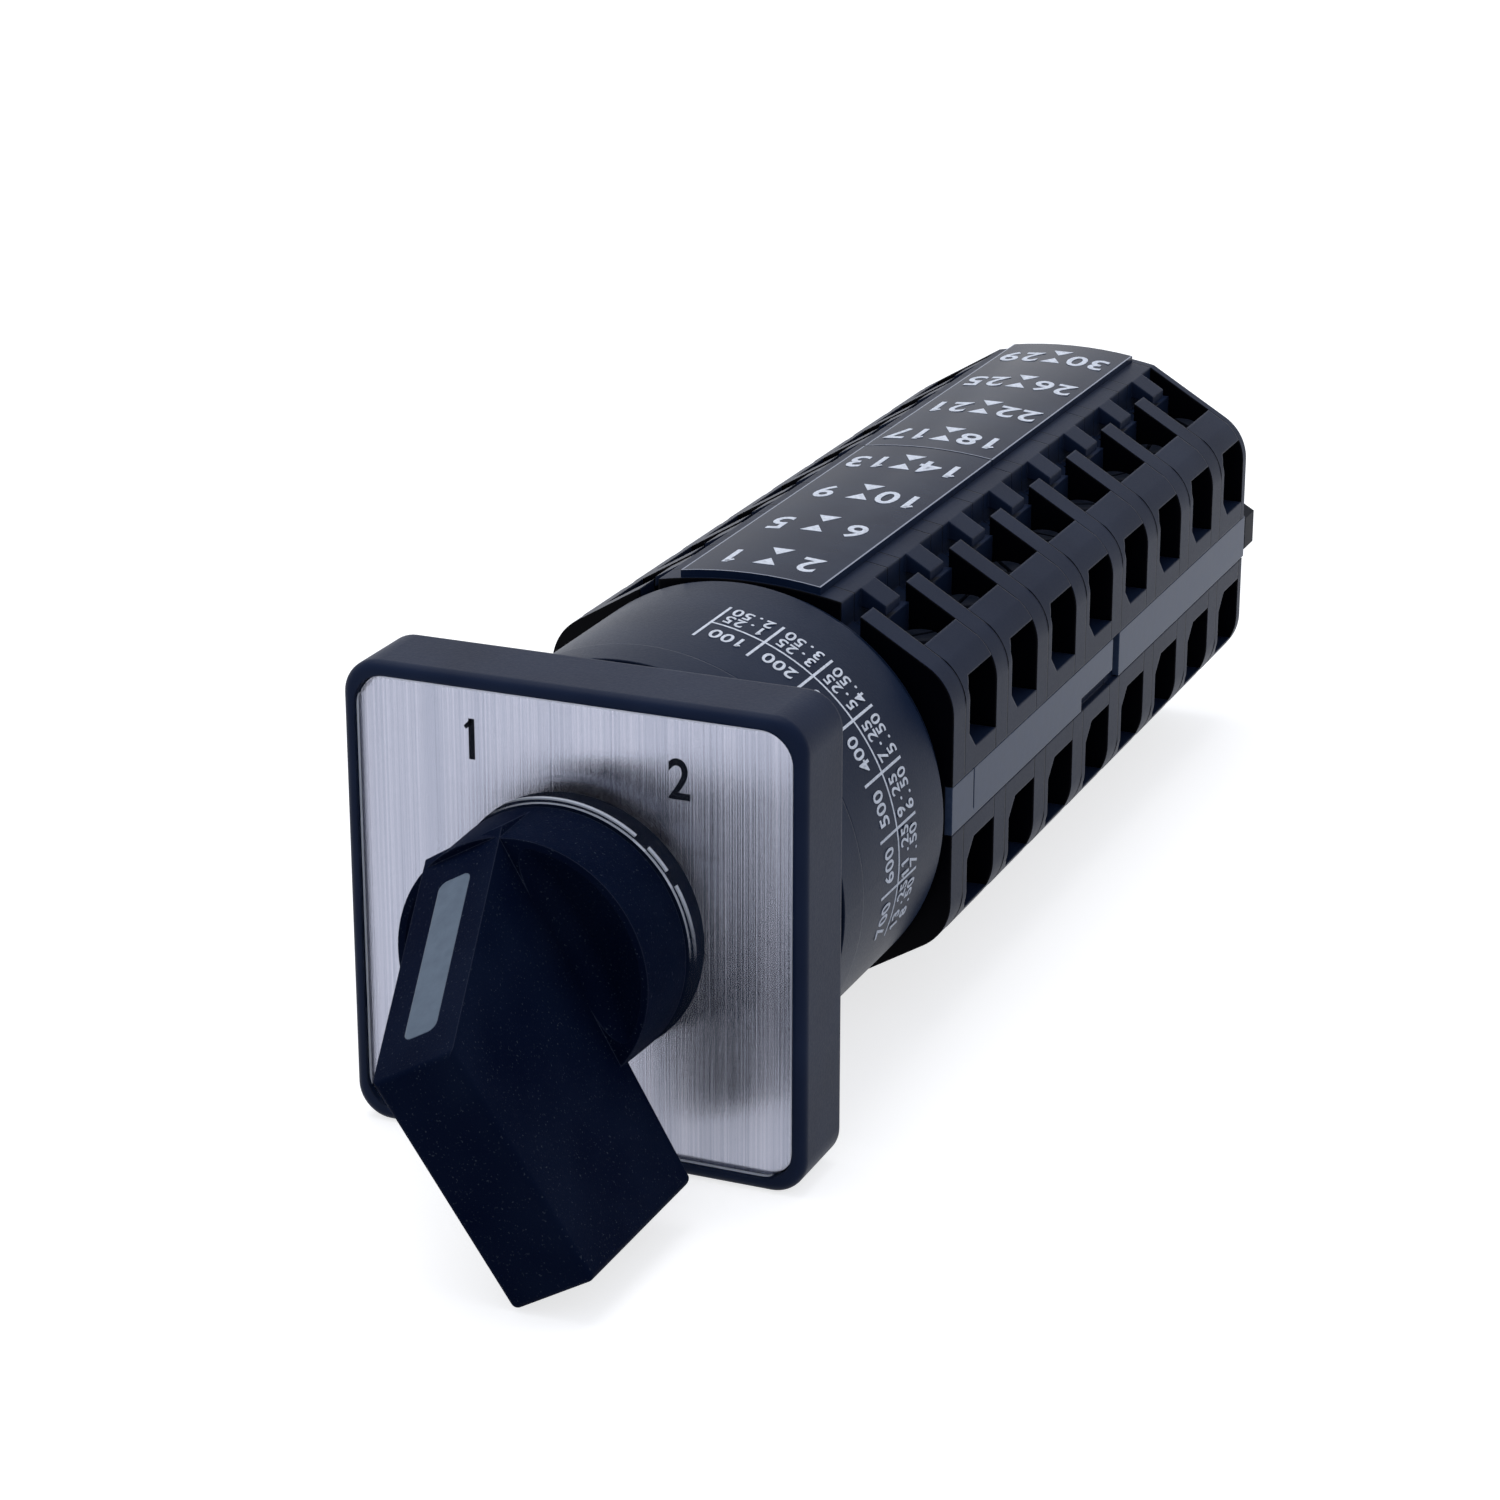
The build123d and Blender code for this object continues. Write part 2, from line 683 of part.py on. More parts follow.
def cam_outline():
    """Base circle and lobe, joined by two spirals that rise evenly over one throw."""
    steps = [i / (spiral_points - 1) for i in range(spiral_points)]
    rise_start = 180 - throw_angle
    fall_start = 360 - throw_angle
    with BuildSketch() as face:
        with BuildLine():
            ThreePointArc(*[polar(cam_base_radius, rise_start * t) for t in (0, 0.5, 1)])
            Spline(*[polar(cam_base_radius + cam_lobe_height * t, rise_start + throw_angle * t) for t in steps])
            lobe_arc = [180 + (fall_start - 180) * t for t in (0, 0.5, 1)]
            ThreePointArc(*[polar(cam_lobe_radius, angle) for angle in lobe_arc])
            Spline(*[polar(cam_lobe_radius - cam_lobe_height * t, fall_start + throw_angle * t) for t in steps])
        make_face()
    return face.sketch


# Cam disc: hub through the stage's front wall, lobed disc, square hole for the shaft
with BuildPart() as cam:
    with BuildSketch(across(first_stage + cam_end_gap)):
        RegularPolygon(cam_hub_radius, chamber_sides)
    extrude(amount=cam_end_gap - cam_front)
    with BuildSketch(across(first_stage + cam_front)):
        add(cam_outline())
    extrude(amount=cam_front + cam_end_gap - stage_pitch)
    with BuildSketch(across(first_stage)):
        Rectangle(2 * socket_half, 2 * socket_half, rotation=pointer_angle)
    extrude(amount=-stage_pitch, mode=Mode.SUBTRACT)

# Plunger: wedge foot on the cam, and a flat top that carries the contact bridge
shank_start = plunger_foot + plunger_width / 2 - foot_half_width
plunger_start = first_stage + plunger_front
plunger_middle = plunger_start + plunger_length / 2
with BuildPart() as plunger:
    with BuildSketch(across(plunger_start)):
        Polygon(
            (-foot_half_width, plunger_foot),
            (foot_half_width, plunger_foot),
            (plunger_width / 2, shank_start),
            (plunger_width / 2, bridge_low),
            (-plunger_width / 2, bridge_low),
            (-plunger_width / 2, shank_start),
            align=None,
        )
    extrude(amount=-plunger_length)

# Contact bridge: a copper bar with two silver tips, seated on the plunger
with BuildPart() as bridge:
    with BuildSketch(Plane.XY.offset(bridge_low)):
        with Locations((0, plunger_middle)):
            Rectangle(2 * bridge_half_length, plunger_length)
    extrude(amount=bridge_thickness)
    with BuildSketch(Plane.XY.offset(bridge_low)):
        with Locations((-contact_tip_place, plunger_middle), (contact_tip_place, plunger_middle)):
            Rectangle(contact_tip_width, contact_tip_length)
    extrude(amount=-contact_tip_thickness)

# Fixed contacts of one stage: four strips with a forked end for the terminal screw
strip_end = screw_well_outer - clamp_fit
fork_start = terminal_place - terminal_screw_radius - contact_gap
strip_top = contact_floor + fixed_strip_thickness
with BuildPart() as stage_contacts:
    with BuildSketch(Plane.XY.offset(contact_floor)):
        with Locations((fixed_strip_inner, plunger_start)):
            strip_span = strip_end - fixed_strip_inner
            Rectangle(strip_span, plunger_length, align=(Align.MIN, Align.MIN))
        with Locations((fork_start, plunger_middle)):
            fork_align = (Align.MIN, Align.CENTER)
            Rectangle(strip_end - fork_start, terminal_slot_width, align=fork_align, mode=Mode.SUBTRACT)
    extrude(amount=fixed_strip_thickness)
    mirror(about=Plane.YZ)
    mirror(about=Plane.XY)

# Terminal screws of one stage, on the forked ends
with BuildPart() as stage_screws:
    with BuildSketch(Plane.XY.offset(strip_top)):
        with Locations((terminal_place, plunger_middle)):
            RegularPolygon(terminal_head_radius, terminal_head_sides)
    extrude(amount=terminal_head_height)
    with BuildSketch(Plane.XY.offset(strip_top)):
        with Locations((terminal_place, plunger_middle)):
            RegularPolygon(terminal_screw_radius, terminal_shank_sides, rotation=45)
    extrude(amount=clamp_low - strip_top)
    mirror(about=Plane.YZ)
    mirror(about=Plane.XY)

# Wire clamps of one stage: forked plates that the terminal screws draw towards the strips
with BuildPart() as stage_clamps:
    with BuildSketch(Plane.XY.offset(clamp_low)):
        with Locations((strip_end, plunger_middle)):
            clamp_span = strip_end - screw_well_inner - clamp_fit
            clamp_align = (Align.MAX, Align.CENTER)
            Rectangle(clamp_span, plunger_length, align=clamp_align)
            Rectangle(strip_end - fork_start, terminal_slot_width, align=clamp_align, mode=Mode.SUBTRACT)
    extrude(amount=clamp_thickness)
    mirror(about=Plane.YZ)
    mirror(about=Plane.XY)

# Contact springs: between each bridge and the top of its chamber
with BuildPart() as upper_spring:
    with BuildSketch(Plane.XY.offset(bridge_high)):
        with Locations((0, plunger_middle)):
            RegularPolygon(contact_spring_radius, contact_spring_sides)
            inner_radius = contact_spring_radius - contact_spring_wall
            RegularPolygon(inner_radius, contact_spring_sides, mode=Mode.SUBTRACT)
    extrude(amount=contact_chamber_top - bridge_high)

with BuildPart() as lower_spring:
    with BuildSketch(Plane.XY.offset(-bridge_high - cam_lobe_height)):
        with Locations((0, plunger_middle)):
            RegularPolygon(contact_spring_radius, contact_spring_sides)
            inner_radius = contact_spring_radius - contact_spring_wall
            RegularPolygon(inner_radius, contact_spring_sides, mode=Mode.SUBTRACT)
    extrude(amount=-(contact_chamber_top - bridge_high - cam_lobe_height))

# Rear cover: closes the last stage and hides the shaft's clip
with BuildPart() as rear_cover:
    with BuildSketch(across(stack_end)):
        add(stage_outline(shoulder_radius))
        with Locations((-stage_half_width, 0), (stage_half_width, 0)):
            Rectangle(2 * side_channel_depth, side_channel_height, mode=Mode.SUBTRACT)
    extrude(amount=-rear_cover_thickness)
    chamfer(rear_cover.faces().sort_by(Axis.Y)[-1].edges(), rear_cover_edge)
    with BuildSketch(across(stack_end)):
        Circle(clip_radius + chamber_gap)
    extrude(amount=-clip_pocket_depth, mode=Mode.SUBTRACT)
    with BuildSketch(across(stack_end)):
        with GridLocations(2 * bolt_place, 0, 2, 1):
            RegularPolygon(bolt_passage, passage_sides, major_radius=False)
    extrude(amount=-rear_cover_thickness, mode=Mode.SUBTRACT)
rear_cover.part.label = "rear_cover"

# Tie bolts through the whole stack, their washers and hexagonal heads behind the rear cover
bolt_front = drum_back - bolt_thread_depth
with BuildPart() as tie_bolts:
    with BuildSketch(across(bolt_front)):
        with GridLocations(2 * bolt_place, 0, 2, 1):
            Circle(bolt_radius)
    extrude(amount=-(cover_back - bolt_front))
    with BuildSketch(across(cover_back)):
        with GridLocations(2 * bolt_place, 0, 2, 1):
            RegularPolygon(bolt_head_width / 2, chamber_sides)
    extrude(amount=-bolt_washer_thickness)
    with BuildSketch(across(cover_back + bolt_washer_thickness)):
        with GridLocations(2 * bolt_place, 0, 2, 1):
            RegularPolygon(bolt_head_width / 2, bolt_head_sides, major_radius=False, rotation=bolt_head_turn)
    extrude(amount=-bolt_head_height)
tie_bolts.part.label = "tie_bolts"

# Label strips on the decks, two in a row above and two below
label_pitch = stages_per_label * stage_pitch
label_edge = deck_height(label_half_width)
with BuildPart() as top_labels:
    for label_start in (first_stage + label_gap, first_stage + label_gap + label_pitch):
        with BuildSketch(across(label_start)):
            with BuildLine():
                under = ThreePointArc((-label_half_width, label_edge), (0, deck_top), (label_half_width, label_edge))
                over = ThreePointArc(
                    (-label_half_width, label_edge + label_thickness),
                    (0, deck_top + label_thickness),
                    (label_half_width, label_edge + label_thickness),
                )
                Line(under @ 0, over @ 0)
                Line(under @ 1, over @ 1)
            make_face()
        extrude(amount=-(label_pitch - label_gap))
top_labels.part.label = "top_labels"

with BuildPart() as bottom_labels:
    add(top_labels.part.mirror(Plane.XY))
bottom_labels.part.label = "bottom_labels"

# Side strips: bands in the side channels, across the joints between the stages
side_strip_height = side_channel_height - 2 * side_strip_play
front_strip_end = first_stage + side_strip_front_length
rear_strip_start = front_strip_end + side_strip_break
with BuildPart() as side_strips:
    with BuildSketch(Plane.YZ.offset(stage_half_width - side_channel_depth)):
        with Locations((first_stage, 0)):
            Rectangle(side_strip_front_length, side_strip_height, align=(Align.MIN, Align.CENTER))
        with Locations((first_stage + side_strip_cut_place, side_strip_height / 2)):
            cut_align = (Align.CENTER, Align.MAX)
            Rectangle(side_strip_cut_width, side_strip_cut_depth, align=cut_align, mode=Mode.SUBTRACT)
        with Locations((front_strip_end, -side_strip_height / 2)):
            notch_size = (side_strip_notch_length, side_strip_notch_height)
            Rectangle(*notch_size, align=(Align.MAX, Align.MIN), mode=Mode.SUBTRACT)
        with Locations((rear_strip_start, 0)):
            rear_strip_length = cover_back - rear_strip_start
            Rectangle(rear_strip_length, side_strip_height, align=(Align.MIN, Align.CENTER))
    extrude(amount=side_channel_depth)
    mirror(about=Plane.YZ)
side_strips.part.label = "side_strips"


def in_stage(part, number):
    """A part of the first stage, moved to the stage with this number."""
    return part.moved(Location((0, (number - 1) * stage_pitch, 0)))


def group(label, parts):
    """The solids of several parts under one name."""
    return Compound([solid for part in parts for solid in part.solids()], label=label)


# The lower contacts are the upper ones mirrored, and lifted by their lobes at position 1
outward = Location((0, 0, -cam_lobe_height))
lower_plunger = plunger.part.mirror(Plane.XY).moved(outward)
lower_bridge = bridge.part.mirror(Plane.XY).moved(outward)
stages = range(1, stage_count + 1)
stage_pieces = []
for number in stages:
    stage_pieces.append(group(f"wafer_{number}", [in_stage(wafer.part, number)]))
    stage_pieces.append(group(f"cam_{number}", [in_stage(cam.part, number)]))
    upper_pair = [in_stage(plunger.part, number), in_stage(bridge.part, number)]
    stage_pieces.append(group(f"upper_contact_{number}", upper_pair))
    lower_pair = [in_stage(lower_plunger, number), in_stage(lower_bridge, number)]
    stage_pieces.append(group(f"lower_contact_{number}", lower_pair))
stage_pieces.append(group("fixed_contacts", [in_stage(stage_contacts.part, n) for n in stages]))
stage_pieces.append(group("terminal_screws", [in_stage(stage_screws.part, n) for n in stages]))
stage_pieces.append(group("terminal_clamps", [in_stage(stage_clamps.part, n) for n in stages]))
stage_pieces.append(group("upper_springs", [in_stage(upper_spring.part, n) for n in stages]))
stage_pieces.append(group("lower_springs", [in_stage(lower_spring.part, n) for n in stages]))

front_pieces = [knob, knob_indicator, knob_clip, front_frame, label_plate, clear_cover, mounting_screws]
drum_pieces = [detent_housing, housing_cover, star_wheel, detent_rollers, detent_springs, shaft, shaft_clip]
outer_pieces = [rear_cover, tie_bolts, top_labels, bottom_labels, side_strips]
single_pieces = [piece.part for piece in front_pieces + drum_pieces + outer_pieces]
os.makedirs("parts", exist_ok=True)
for piece in single_pieces + stage_pieces:
    export_step(piece, f"parts/{piece.label}.step")
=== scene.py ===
import math

import bmesh
import bpy
from mathutils import Matrix, Vector


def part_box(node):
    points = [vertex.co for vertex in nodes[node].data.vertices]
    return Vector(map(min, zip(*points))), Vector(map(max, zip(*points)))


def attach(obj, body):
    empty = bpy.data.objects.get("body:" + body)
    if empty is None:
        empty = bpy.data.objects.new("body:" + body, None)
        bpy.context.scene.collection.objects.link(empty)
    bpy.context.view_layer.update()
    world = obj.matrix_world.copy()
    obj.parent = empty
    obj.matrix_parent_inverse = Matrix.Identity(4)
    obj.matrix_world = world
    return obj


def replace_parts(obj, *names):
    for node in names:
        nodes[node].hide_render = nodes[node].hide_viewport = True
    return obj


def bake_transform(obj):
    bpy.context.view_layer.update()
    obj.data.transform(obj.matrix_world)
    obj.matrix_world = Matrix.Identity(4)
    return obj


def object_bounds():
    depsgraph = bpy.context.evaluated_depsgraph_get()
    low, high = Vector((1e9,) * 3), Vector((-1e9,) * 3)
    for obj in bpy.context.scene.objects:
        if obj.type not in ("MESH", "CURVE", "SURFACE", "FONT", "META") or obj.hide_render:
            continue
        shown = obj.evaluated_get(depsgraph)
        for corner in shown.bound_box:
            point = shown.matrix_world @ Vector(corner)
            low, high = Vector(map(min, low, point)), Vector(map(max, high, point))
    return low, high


# Changeover cam switch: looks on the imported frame. Metres, knob towards -Y, +Z up.
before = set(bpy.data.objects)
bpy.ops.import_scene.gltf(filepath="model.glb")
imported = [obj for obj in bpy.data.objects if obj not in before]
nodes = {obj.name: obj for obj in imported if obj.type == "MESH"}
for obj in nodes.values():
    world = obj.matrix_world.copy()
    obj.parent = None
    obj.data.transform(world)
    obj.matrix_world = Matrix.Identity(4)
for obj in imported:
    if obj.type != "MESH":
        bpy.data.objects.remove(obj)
cadBox = [list(corner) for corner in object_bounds()]
print("frame loaded:", len(nodes), "nodes")

mm = 0.001
stageNumbers = range(1, 9)
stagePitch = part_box("wafer_2")[0].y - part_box("wafer_1")[0].y
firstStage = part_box("wafer_1")[0].y


# materials

class Wire:
    # a socket inside one material; the operators add Math nodes
    def __init__(self, tree, socket=None):
        self.tree = tree
        self.socket = socket

    def node(self, kind, settings=None, inputs=None, output=0):
        made = self.tree.nodes.new(kind)
        for name, value in (settings or {}).items():
            setattr(made, name, value)
        for name, value in (inputs or {}).items():
            if isinstance(value, Wire):
                self.tree.links.new(value.socket, made.inputs[name])
            else:
                made.inputs[name].default_value = value
        return Wire(self.tree, made.outputs[output])

    def math(self, operation, *values):
        return self.node("ShaderNodeMath", {"operation": operation}, dict(enumerate(values)))

    def __add__(self, other):
        return self.math("ADD", self, other)

    def __sub__(self, other):
        return self.math("SUBTRACT", self, other)

    def __rsub__(self, other):
        return self.math("SUBTRACT", other, self)

    def __mul__(self, other):
        return self.math("MULTIPLY", self, other)

    def __abs__(self):
        return self.math("ABSOLUTE", self)

    __radd__ = __add__
    __rmul__ = __mul__

    def place(self):
        return self.node("ShaderNodeTexCoord", output="Object")

    def axis(self, letter):
        return self.node("ShaderNodeSeparateXYZ", inputs={0: self.place()}, output=letter)

    def noise(self, scale, detail=2.0, roughness=0.5, stretch=(1, 1, 1)):
        turned = self.node("ShaderNodeMapping", inputs={"Vector": self.place(), "Scale": stretch})
        spots = {"Vector": turned, "Scale": scale, "Detail": detail, "Roughness": roughness}
        return self.node("ShaderNodeTexNoise", inputs=spots)

    def blend(self, mask, low, high):
        colours = {"Factor": mask, 6: low, 7: high}
        return self.node("ShaderNodeMix", {"data_type": "RGBA"}, colours, output=2)

    def span(self, low, high):
        # 0 at low and 1 at high
        ends = {"Value": self, "From Min": low, "From Max": high}
        return self.node("ShaderNodeMapRange", inputs=ends)

    def rounded(self, edge):
        # the surface's direction where its edges are rounded for the light
        return self.node("ShaderNodeBevel", {"samples": 6}, {"Radius": edge})

    def relief(self, height, depth, strength=1.0, edge=0.0):
        inputs = {"Height": height, "Distance": depth, "Strength": strength}
        if edge:
            inputs["Normal"] = self.rounded(edge)
        return self.node("ShaderNodeBump", inputs=inputs)

    def edges(self, width):
        # 1 on the sharp edges, 0 on the flats
        flat = self.node("ShaderNodeNewGeometry", output="Normal")
        alike = {0: self.rounded(width), 1: flat}
        lean = self.node("ShaderNodeVectorMath", {"operation": "DOT_PRODUCT"}, alike, output="Value")
        return (1 - lean).span(0.01, 0.22)


def finishOf(name, **sockets):
    # a material and the Wire that adds nodes to it; sockets are the shader's fixed values
    material = bpy.data.materials.new(name)
    material.use_nodes = True
    shader = material.node_tree.nodes["Principled BSDF"]
    for socket, value in sockets.items():
        shader.inputs[socket.replace("_", " ")].default_value = value
    return material, Wire(material.node_tree)


def connect(material, **sockets):
    shader = material.node_tree.nodes["Principled BSDF"]
    for socket, wire in sockets.items():
        material.node_tree.links.new(wire.socket, shader.inputs[socket.replace("_", " ")])
    return material


edgeHighlightTone = (0.085, 0.100, 0.150, 1)     # painted highlight where moulded edges catch the light and look paler
speckTone = (0.070, 0.085, 0.110, 1)    # dust-like specks in the knob's plastic


def cloudyTone(wire, dark, pale):
    # two close tones in soft patches
    patches = wire.noise(90.0, 2.0).span(0.35, 0.7)
    return wire.blend(patches, (*dark, 1), (*pale, 1))


def grainedPlastic(name, dark, pale, rough, grain, depth, edge, worn, specks=0.0, gloss=0.1):
    # moulded black plastic: fine grain, faint cloudy tone, a painted highlight on the edges, and specks
    # where asked
    material, wire = finishOf(name, Specular_IOR_Level=gloss)
    grainNoise = wire.noise(grain, 3.0, 0.6)
    tone = cloudyTone(wire, dark, pale)
    # painted highlight on the edges; worn is its strength
    tone = wire.blend(wire.edges(edge) * worn, tone, edgeHighlightTone)
    if specks:
        speck = wire.noise(grain * 0.8, 1.0).span(0.66, 0.80) * specks
        tone = wire.blend(speck, tone, speckTone)
    roughness = grainNoise * 0.16 + (rough - 0.08)
    normal = wire.relief(grainNoise, depth, 0.6, edge)
    return connect(material, Base_Color=tone, Roughness=roughness, Normal=normal)


# worn: the strength of the painted edge highlight in each plastic
knobLook = {"dark": (0.0010, 0.0034, 0.0150), "pale": (0.0038, 0.0076, 0.0225), "rough": 0.56,
            "grain": 5200.0, "depth": 0.06 * mm, "edge": 0.2 * mm, "worn": 0.30, "specks": 0.45,
            "gloss": 0.010}
frameLook = {"dark": (0.0045, 0.0105, 0.0320), "pale": (0.0085, 0.0165, 0.0430), "rough": 0.44,
             "grain": 3600.0, "depth": 0.03 * mm, "edge": 0.4 * mm, "worn": 0.15, "gloss": 0.068}
housingLook = {"dark": (0.0065, 0.0135, 0.0350), "pale": (0.0120, 0.0205, 0.0460), "rough": 0.38,
               "grain": 3600.0, "depth": 0.03 * mm, "edge": 0.3 * mm, "worn": 0.15, "gloss": 0.052}
knobPlastic = grainedPlastic("knobPlastic", **knobLook)
framePlastic = grainedPlastic("framePlastic", **frameLook)
housingPlastic = grainedPlastic("housingPlastic", **housingLook)
print("plastics made")


def stagePlastic():
    # the stages' plastic, with the fine parting line behind each front wall and a painted highlight on its
    # edges
    look = {"dark": (0.0058, 0.0115, 0.0310), "pale": (0.0102, 0.0175, 0.0410),
            "gap": (0.0004, 0.0006, 0.0020), "grain": 3600.0, "edge": 0.3 * mm, "worn": 0.10,
            "wall": 3.6 * mm, "line": 0.12 * mm, "joint": 0.10 * mm, "depth": 0.12 * mm}
    material, wire = finishOf("stagePlastic", Specular_IOR_Level=0.045)
    grainNoise = wire.noise(look["grain"], 3.0, 0.6)
    along = wire.axis("Y") - (firstStage - 10 * stagePitch)    # above zero all along the switch
    local = wire.math("MODULO", along, stagePitch)
    wallLine = abs(local - look["wall"]).span(look["line"], look["line"] * 0.4)
    edgeGap = wire.math("MINIMUM", local, stagePitch - local)
    jointLine = edgeGap.span(look["joint"], look["joint"] * 0.3)
    groove = wire.math("MAXIMUM", wallLine, jointLine)
    tone = cloudyTone(wire, look["dark"], look["pale"])
    # painted highlight on the edges; worn is its strength
    tone = wire.blend(wire.edges(look["edge"]) * look["worn"], tone, edgeHighlightTone)
    tone = wire.blend(groove, tone, (*look["gap"], 1))
    height = grainNoise * 0.1 - groove
    normal = wire.relief(height, look["depth"], 0.5, look["edge"])
    return connect(material, Base_Color=tone, Roughness=grainNoise * 0.14 + 0.33, Normal=normal)


def brushedMetal():
    # the plate: fine vertical brush lines and broader streaks; its gloss spreads sideways
    look = {"fine": (18, 1, 0.04), "broad": (9, 1, 0.25), "dark": (0.31, 0.33, 0.41),
            "pale": (0.48, 0.49, 0.58), "depth": 0.08 * mm}
    material, wire = finishOf("brushedPlate", Metallic=1.0, Anisotropic=0.93)
    fine = wire.noise(260.0, 3.0, 0.65, look["fine"])
    broad = wire.noise(60.0, 3.0, 0.6, look["broad"])
    streak = fine.span(0.32, 0.68) * 0.65 + broad.span(0.35, 0.65) * 0.35
    tone = wire.blend(streak, (*look["dark"], 1), (*look["pale"], 1))
    normal = wire.relief(fine, look["depth"], 0.5)
    return connect(material, Base_Color=tone, Roughness=broad * 0.10 + 0.20, Normal=normal)


def clearPlastic():
    # the cover: nearly invisible, with painted highlights: bright lines on its collar's two edges, on the
    # lit side only, and along its border
    look = {"collar": (13.45 * mm, 13.95 * mm), "line": 0.09 * mm, "front": (0.5 * mm, 0.3 * mm),
            "borderGlint": (22.35 * mm, 22.43 * mm), "lit": (-0.6, -0.1, 1.1, 1.6), "haze": 0.008}
    material, wire = finishOf("clearCover", Roughness=0.08, Base_Color=(0.70, 0.74, 0.82, 1))
    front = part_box("clear_cover")[0].y
    flat = wire.node("ShaderNodeCombineXYZ", inputs={"X": wire.axis("X"), "Z": wire.axis("Z")})
    radius = wire.node("ShaderNodeVectorMath", {"operation": "LENGTH"}, {0: flat}, output="Value")
    inner, outer = [abs(radius - ring).span(look["line"] * 1.6, look["line"]) for ring in look["collar"]]
    atFront = wire.axis("Y").span(front + look["front"][0], front + look["front"][1])
    # painted highlight: the collar's edge lines show only over the arc where the light falls
    angle = wire.math("ARCTAN2", wire.axis("X"), wire.axis("Z"))
    lit = angle.span(look["lit"][0], look["lit"][1]) * angle.span(look["lit"][3], look["lit"][2])
    rimGlints = wire.math("MAXIMUM", inner, outer) * atFront * lit
    reach = wire.math("MAXIMUM", abs(wire.axis("X")), abs(wire.axis("Z")))
    # painted glint along the cover's border
    borderGlint = reach.span(*look["borderGlint"])
    scratch = wire.noise(900.0, 2.0, 0.5, (1, 1, 0.2)).span(0.66, 0.72) * 0.02
    # the painted glints as opacity of the pale cover colour, with faint scratches and haze
    lines = wire.math("MAXIMUM", rimGlints * 0.8, borderGlint * 0.6)
    return connect(material, Alpha=lines + scratch + look["haze"])


def labelPlastic():
    # glossy black label, with a painted highlight: a thin pale line along the edges of its upper face
    look = {"dark": (0.006, 0.013, 0.036), "pale": (0.013, 0.023, 0.050), "line": (0.40, 0.43, 0.52),
            "rim": 0.22 * mm, "side": 0.015 * mm, "length": 4 * stagePitch}
    material, wire = finishOf("labelPlastic", Specular_IOR_Level=0.035)
    low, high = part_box("top_labels")
    along = wire.math("MODULO", wire.axis("Y") - low.y + look["length"], look["length"])
    inward = wire.math("MINIMUM", high.x - abs(wire.axis("X")), along)
    rim = inward.span(look["rim"], look["rim"] * 0.7) * inward.span(0, look["side"])
    smudge = wire.noise(160.0, 4.0, 0.6)
    tone = wire.blend(smudge.span(0.35, 0.75), (*look["dark"], 1), (*look["pale"], 1))
    # painted highlight along the upper face's edges
    tone = wire.blend(rim * 0.7, tone, (*look["line"], 1))
    normal = wire.relief(smudge, 0.03 * mm, 0.3)
    return connect(material, Base_Color=tone, Roughness=smudge * 0.16 + 0.12, Normal=normal)


def flatPlastic(name, dark, pale, rough, gloss=0.3):
    material, wire = finishOf(name, Specular_IOR_Level=gloss)
    spots = wire.noise(700.0, 3.0, 0.6)
    tone = wire.blend(spots.span(0.3, 0.7), (*dark, 1), (*pale, 1))
    normal = wire.relief(spots, 0.02 * mm, 0.4, 0.2 * mm)
    return connect(material, Base_Color=tone, Roughness=spots * 0.12 + rough, Normal=normal)


def platedMetal(name, dark, pale, rough):
    material, wire = finishOf(name, Metallic=1.0)
    spots = wire.noise(1200.0, 4.0, 0.6)
    tone = wire.blend(spots.span(0.3, 0.7), (*dark, 1), (*pale, 1))
    normal = wire.relief(spots, 0.02 * mm, 0.5, 0.15 * mm)
    return connect(material, Base_Color=tone, Roughness=spots * 0.2 + rough, Normal=normal)


def printedInk(name, colour):
    # ink with slightly uneven cover
    material, wire = finishOf(name, Roughness=0.55, Specular_IOR_Level=0.03)
    cover = wire.noise(2600.0, 3.0, 0.6).span(0.30, 0.60)
    worn = [part * 0.72 for part in colour]
    return connect(material, Base_Color=wire.blend(cover, (*worn, 1), (*colour, 1)))


stripLook = {"dark": (0.026, 0.045, 0.090), "pale": (0.043, 0.063, 0.114), "rough": 0.28, "gloss": 0.09}
indicatorLook = {"dark": (0.070, 0.105, 0.155), "pale": (0.096, 0.136, 0.190), "rough": 0.35, "gloss": 0.25}
camLook = {"dark": (0.55, 0.55, 0.52), "pale": (0.66, 0.66, 0.63), "rough": 0.40}
steelLook = {"dark": (0.45, 0.46, 0.48), "pale": (0.62, 0.63, 0.65), "rough": 0.28}
# near black: painted shade, the terminal screws and clamps darkened to stand in for the shade of their
# wells
steelPaintedShadeLook = {"dark": (0.003, 0.005, 0.010), "pale": (0.009, 0.011, 0.018), "rough": 0.34, "gloss": 0.02}
springLook = {"dark": (0.30, 0.31, 0.33), "pale": (0.42, 0.43, 0.45), "rough": 0.30}
brassLook = {"dark": (0.55, 0.35, 0.14), "pale": (0.72, 0.48, 0.22), "rough": 0.25}
stageFinish = stagePlastic()
plateFinish = brushedMetal()
coverFinish = clearPlastic()
labelFinish = labelPlastic()
stripFinish = flatPlastic("sideStrip", **stripLook)
indicatorFinish = flatPlastic("indicatorStrip", **indicatorLook)
camFinish = flatPlastic("camPlastic", **camLook)
steelFinish = platedMetal("zincSteel", **steelLook)
steelPaintedShade = flatPlastic("steelPaintedShade", **steelPaintedShadeLook)
springFinish = platedMetal("springSteel", **springLook)
brassFinish = platedMetal("contactBrass", **brassLook)
whiteInk = printedInk("whiteInk", (0.72, 0.76, 0.84))
blackInk = printedInk("blackInk", (0.006, 0.008, 0.014))
print("materials made")

